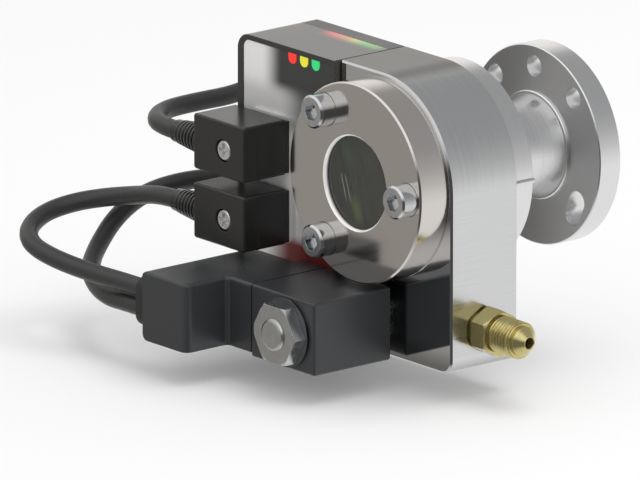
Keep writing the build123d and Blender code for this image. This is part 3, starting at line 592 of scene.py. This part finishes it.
dress(moulded("plug plastic", (0.019, 0.019, 0.0185), 0.24, 0.0005), "plug_upper", "plug_lower",
      "socket_upper", "socket_lower", "relief_upper", "relief_lower")
dress(moulded("coil plastic", (0.034, 0.036, 0.039), 0.31, 0.00004), "coil_housing", "coil_connector")
dress(moulded("cover plastic", (0.030, 0.030, 0.031), 0.3, 0.0003), "module_cover", "level_sensor")
dress(moulded("rubber", (0.020, 0.020, 0.020), 0.6, 0.0002, 900, 0.2), "cable_grommet", "adapter_oring",
      "flange_oring", "glass_oring", "tube_oring", "valve_seal", "inlet_seal")
dress(moulded("gasket fibre", (0.50, 0.50, 0.48), 0.5, 0.0001, 1200, 0.2), "glass_gasket")
dress(moulded("float plastic", (0.62, 0.62, 0.58), 0.45, 0.0002), "float_arm", "float_body")

# %% [markdown]
# The module's housing is dark smoke plastic with a polished surface. The three
# lights inside shine through its top as one streak beside the seam, from red
# through yellow to green. Real light through tinted plastic would need a clear
# material and small lamps, which is slow and noisy for so faint a glow, so the
# streak is painted as emission. The left end of its top is painted a little
# paler than the rest, as painted light.

# %% Smoke housing
smoke_colour = (0.034, 0.033, 0.031)
smoke, shader, place = new_finish("smoke housing", smoke_colour, 0.14, Coat_Weight=0.12, Coat_Roughness=0.05)
x, y, z = split(smoke, place)
lid = fade(smoke, z, 0.0312, 0.0314, how="LINEAR")           # the top face alone
along = fade(smoke, x, -0.0490, -0.0200, how="LINEAR")       # from the first light to the last
streak = ramp(smoke, along, (0.0, 0.0), (0.22, (0.80, 0.06, 0.06)), (0.42, (0.66, 0.26, 0.12)),
              (0.52, (0.55, 0.50, 0.14)), (0.68, (0.12, 0.52, 0.08)), (0.9, (0.10, 0.34, 0.05)), (1.0, 0.0))
seam = calc(smoke, "POWER", fade(smoke, y, -0.0530, -0.0478), 1.3)      # brightest at the seam
wire(smoke, streak, shader, "Emission Color")
wire(smoke, times(smoke, seam, lid, 0.75), shader, "Emission Strength")
# painted light: the left end of the top is painted paler
lit_end = times(smoke, fade(smoke, x, -0.045, -0.062), lid)
wire(smoke, ramp(smoke, lit_end, (0.0, smoke_colour), (1.0, (0.055, 0.055, 0.052))), shader, "Base Color")
softened(smoke, shader, 0.0002, noise(smoke, place, 900, 3, (0.05, 1, 1)), 0.12, fine_relief)
dress(smoke, "module_housing")

# %% [markdown]
# The module's front is a glossy foil whose colour is painted light and shade:
# pale at the left, with a soft dark field at the right, and a dull red field
# under the plugs that is a painted red glow, in colour and a faint emission.
# The fields have no hard borders, so they are fades by the place on the foil,
# laid over each other from the palest to the darkest.

# %% Front foil
foil, shader, place = new_finish("front foil", (0.6, 0.59, 0.575), 0.2, Coat_Weight=0.3, Coat_Roughness=0.04)
x, y, z = split(foil, place)
# painted light and shade: the pale and dark fields below are painted by place on the foil
upper = fade(foil, z, 0.0145, 0.0205)
left = blend(foil, fade(foil, z, 0.0, 0.012), (0.78, 0.77, 0.76), (0.66, 0.655, 0.645))
pale = blend(foil, upper, left, (0.90, 0.885, 0.875))
dark = blend(foil, upper, (0.15, 0.15, 0.145), (0.036, 0.036, 0.037))
border = between(foil, upper, fade(foil, x, -0.046, -0.033), fade(foil, x, -0.0535, -0.0440))
above_plugs = fade(foil, z, 0.004, 0.010)
lit_and_shaded_fields = blend(foil, times(foil, border, above_plugs), pale, dark)
below_plugs = fade(foil, z, -0.024, -0.0285)
# painted red glow under the plugs, in colour and a faint emission
red = blend(foil, fade(foil, x, -0.043, -0.030), (0.17, 0.055, 0.05), (0.075, 0.010, 0.010))
lit_and_shaded_fields = blend(foil, times(foil, below_plugs, fade(foil, x, -0.052, -0.040)), lit_and_shaded_fields, red)
wire(foil, lit_and_shaded_fields, shader, "Base Color")
wire(foil, lit_and_shaded_fields, shader, "Emission Color")
wire(foil, times(foil, below_plugs, 0.3), shader, "Emission Strength")
softened(foil, shader, 0.0003)
dress(foil, "front_panel")

# %% [markdown]
# Three light guides show the regulator's state: red, yellow and green. Each
# could hold a small lamp, but only the guide's own face has to look lit, so
# each is a coloured plastic with a gentle emission.

# %% Light guides
def glowing(name, colour, strength):
    """Coloured plastic that gives off a little of its own colour."""
    guide, shader, place = new_finish(name, colour, 0.25, Emission_Strength=strength)
    shader.inputs["Emission Color"].default_value = (*colour, 1)
    glow = noise(guide, place, 300, 2)
    wire(guide, ramp(guide, glow, (0.2, toned(colour, 0.85)), (0.8, colour)), shader, "Base Color")
    return guide


dress(glowing("red light", (0.90, 0.03, 0.02), 0.45), "light_red")
dress(glowing("yellow light", (0.78, 0.74, 0.03), 0.35), "light_yellow")
dress(glowing("green light", (0.03, 0.66, 0.20), 0.35), "light_green")

# %% [markdown]
# The circuit board inside is green laminate, seen only when the housing is
# opened. A plain green would do. Two near greens in a fine noise hint at the
# weave of the laminate for anyone who takes the cover off.

# %% Circuit board
board, shader, place = new_finish("circuit board", (0.03, 0.12, 0.05), 0.4)
weave = noise(board, place, 500, 3, (1, 1, 0.2))
wire(board, ramp(board, weave, (0.45, (0.03, 0.12, 0.05)), (0.55, (0.04, 0.16, 0.07))), shader, "Base Color")
dress(board, "circuit_board")

# %% [markdown]
# The sight glass is thick clear glass with a grey-green body. Fully clear glass
# over the dark chamber would look black, so part of it is an opaque body. Its
# streaks are painted reflections. They lean a little, as a reflection in a thick
# disc does, so they follow a slanted coordinate: x, shifted with the height.

# %% Sight glass: body
glass, shader, place = new_finish("sight glass", (0.30, 0.34, 0.29), 0.03, Transmission_Weight=0.72, IOR=1.5)
x, y, z = split(glass, place)
slant = calc(glass, "ADD", x, times(glass, z, 0.33))
streaks = add(glass, "ShaderNodeCombineXYZ", _0=slant, _1=0.0, _2=times(glass, z, 0.06)).outputs[0]
# painted reflections: streaks in the body's colour
streak_reflections = noise(glass, streaks, 420, 4)
body = ramp(glass, streak_reflections, (0.35, (0.125, 0.127, 0.115)), (0.52, (0.155, 0.165, 0.145)),
            (0.68, (0.12, 0.115, 0.115)), (0.8, (0.17, 0.19, 0.15)))

# %% [markdown]
# Over the body lie two soft painted highlights and two fine painted highlight
# lines, the marks of light inside the disc. Each is a spot or a line made of
# distances: a share that is 1 at its middle and fades out a few millimetres away.

# %% Sight glass: painted highlights
def distance(value, middle):
    """How far the value is from a middle, to either side."""
    return calc(glass, "ABSOLUTE", calc(glass, "SUBTRACT", value, middle))


# two painted highlights, soft spots in the body's colour
for middle, level, glint in ((-0.0024, 0.0075, (0.15, 0.24, 0.15)), (-0.0036, -0.0085, (0.27, 0.36, 0.16))):
    near = times(glass, fade(glass, distance(slant, middle), 0.0034, 0.0),
                 fade(glass, distance(z, level), 0.0055, 0.001))
    body = blend(glass, near, body, glint)
# two fine painted highlight lines
highlight_lines = 0.0
for middle in (-0.0076, -0.0057):
    highlight_lines = calc(glass, "ADD", fade(glass, distance(slant, middle), 0.00028, 0.0001), highlight_lines, True)
reach = fade(glass, distance(z, -0.0027), 0.0046, 0.0025)
body = blend(glass, times(glass, highlight_lines, reach, 0.9), body, (0.9, 0.95, 0.8))
wire(glass, body, shader, "Base Color")
dress(glass, "sight_glass")

# %% [markdown]
# Brass for the inlet and its strainer, bright from the lathe. Fully metallic
# brass takes all its light from what it mirrors and went too dark among the
# grey panels, so a little of the colour is left as plain paint would show it.

# %% Brass
brass, shader, place = new_finish("turned brass", (0.60, 0.52, 0.23), 0.15, Metallic=0.85)
fine = noise(brass, place, 3000, 3, (1, 0.1, 0.1))
wire(brass, ramp(brass, fine, (0.3, (0.55, 0.47, 0.205)), (0.7, (0.66, 0.575, 0.27))), shader, "Base Color")
softened(brass, shader, 0.00004, fine, 0.12, fine_relief)
dress(brass, "inlet_strainer", "valve_seat")
flare_fitting.data.materials.append(brass)

# %% [markdown]
# The studio starts with a white floor a little below the object. A white
# plane alone renders as a pale grey, and turning up the lamps would wash out
# the object. So the camera sees part of the floor as plain white light: a
# small share near the object, which keeps its shadow, and all of it farther
# off, so that the floor runs into the background without a line.

# %% Floor
def show(finish, shader, output="Material Output"):
    """Make a shader what the surface or the sky shows."""
    finish.node_tree.links.new(shader.outputs[0], finish.node_tree.nodes[output].inputs["Surface"])


floor_z, half_floor = cad_low.z - 0.009, 30
corners = [(x * half_floor, y * half_floor, floor_z) for x, y in ((-1, -1), (1, -1), (1, 1), (-1, 1))]
floor = bpy.data.objects.new("floor", bpy.data.meshes.new("floor"))
floor.data.from_pydata(corners, [], [(0, 1, 2, 3)])
bpy.context.scene.collection.objects.link(floor)
floor_white, shader, place = new_finish("white floor", (0.90, 0.90, 0.90), 0.9, Specular_IOR_Level=0.0)
patches = ramp(floor_white, noise(floor_white, place, 3, 2), (0.0, 0.895), (1.0, 0.905))
wire(floor_white, patches, shader, "Base Color")
away = add(floor_white, "ShaderNodeVectorMath", {"operation": "LENGTH"}, _0=place).outputs["Value"]
lit_share = times(floor_white, add(floor_white, "ShaderNodeLightPath").outputs["Is Camera Ray"],
                  fade(floor_white, away, 0.25, 1.5, 0.15, 1.0))
white_light = add(floor_white, "ShaderNodeEmission", Color=(1, 1, 1, 1), Strength=1.0)
show(floor_white, add(floor_white, "ShaderNodeMixShader", _0=lit_share, _1=shader.outputs[0],
                      _2=white_light.outputs[0]))
floor.data.materials.append(floor_white)
floor.visible_glossy = False
print("floor at", round(floor_z * 1000, 1), "mm")

# %% [markdown]
# The world gives the soft light. It has two strengths. What it lights gets a
# plain 0.84, at which a colour renders about as it is written, and the camera,
# mirrors and glass see it as pure white, so that the background is white
# without more light on the object.

# %% World
world = bpy.data.worlds.new("studio")
bpy.context.scene.world = world
world.use_nodes = True
soft_light = world.node_tree.nodes["Background"]
soft_light.inputs["Color"].default_value = (1, 1, 1, 1)
soft_light.inputs["Strength"].default_value = 0.84
white_sky = add(world, "ShaderNodeBackground", Color=(1, 1, 1, 1), Strength=1.0)
ray = add(world, "ShaderNodeLightPath").outputs
seen = calc(world, "ADD", calc(world, "ADD", ray["Is Camera Ray"], ray["Is Glossy Ray"]),
            ray["Is Transmission Ray"], True)
show(world, add(world, "ShaderNodeMixShader", _0=seen, _1=soft_light.outputs[0], _2=white_sky.outputs[0]),
     "World Output")
print("world light", round(soft_light.inputs["Strength"].default_value, 2))

# %% [markdown]
# Polished metal in an all white room looks like white paint. A photographer
# sets grey and pale cards round it, and the metal takes its shades from them.
# The tent does the same: a sphere of 2 m round the object that only
# reflections can see. Real cards would have hard edges in the metal, so the
# cloth has four panels instead, each a ramp from the floor to the top, and
# they fade into one another.

# %% Reflection tent: panels
tent_cloth = bpy.data.materials.new("tent cloth")
tent_cloth.use_nodes = True
tent_cloth.node_tree.nodes.remove(tent_cloth.node_tree.nodes["Principled BSDF"])
place = add(tent_cloth, "ShaderNodeTexCoord").outputs["Object"]
outwards = add(tent_cloth, "ShaderNodeVectorMath", {"operation": "NORMALIZE"}, _0=place).outputs[0]
x, y, z = split(tent_cloth, outwards)


def panel_of(*stops):
    """One cloth panel: colours from the floor, at -1, to the top, at 1."""
    height = fade(tent_cloth, z, -1.0, 1.0, how="LINEAR")
    return ramp(tent_cloth, height, *[((level + 1) / 2, colour) for level, colour in stops])


back_left = panel_of((-1, 0.9), (0.42, (0.98, 0.96, 0.93)), (0.66, (0.34, 0.345, 0.34)), (1, 0.4))
back_right = panel_of((-1, 0.9), (-0.25, 0.9), (0.0, 0.64), (0.27, 0.46), (0.5, (0.37, 0.375, 0.385)),
                      (1, 0.34))
front_left = panel_of((-1, 0.9), (-0.8, 0.8), (-0.5, (0.36, 0.345, 0.325)), (0.0, (0.40, 0.385, 0.365)),
                      (0.35, 0.6), (0.55, 1.1))
front_right = panel_of((-1, 0.9), (-0.8, 0.6), (-0.55, 0.1), (0.12, 0.1), (0.3, 0.7), (0.5, 1.15))
back = blend(tent_cloth, fade(tent_cloth, x, -0.50, -0.28), back_left, back_right)
front = blend(tent_cloth, fade(tent_cloth, x, 0.15, 0.5), front_left, front_right)
cloth = blend(tent_cloth, fade(tent_cloth, y, -0.30, 0.25), front, back)
show(tent_cloth, add(tent_cloth, "ShaderNodeEmission", Color=cloth))
print("four panels on", tent_cloth.name)

# %% [markdown]
# The tent itself is a plain sphere. Every kind of ray but the reflections has
# to pass through it, or it would hide the camera's view and shut out the
# world's light.

# %% Reflection tent: pitch it
tent = bpy.data.objects.new("tent", bpy.data.meshes.new("tent"))
shell = bmesh.new()
bmesh.ops.create_uvsphere(shell, u_segments=48, v_segments=24, radius=2.0)
shell.to_mesh(tent.data)
shell.free()
bpy.context.scene.collection.objects.link(tent)
tent.data.materials.append(tent_cloth)
tent.visible_camera = tent.visible_diffuse = tent.visible_shadow = tent.visible_volume_scatter = False
tent.visible_transmission = False
print("tent", round(tent.dimensions.x, 2), "m across")

# %% [markdown]
# One large soft lamp hangs overhead, a little behind the object. The world's
# light alone has no direction, so nothing would stand on the floor. The lamp
# is weak, it is hidden from reflections, and all it adds is a faint shadow.

# %% Lamp
lamp_target = Vector((0, -0.05, 0))
lamp = bpy.data.objects.new("overhead", bpy.data.lights.new("overhead", "AREA"))
lamp.data.shape = "DISK"
lamp.data.size = 0.8
lamp.data.energy = 4.0
lamp.location = (0.2, 0.1, 1.0)
lamp.rotation_euler = (Vector(lamp.location) - lamp_target).to_track_quat("Z", "Y").to_euler()
lamp.visible_glossy = False
bpy.context.scene.collection.objects.link(lamp)
print("lamp", lamp.data.energy, "W,", round((lamp.location - lamp_target).length, 2), "m off")
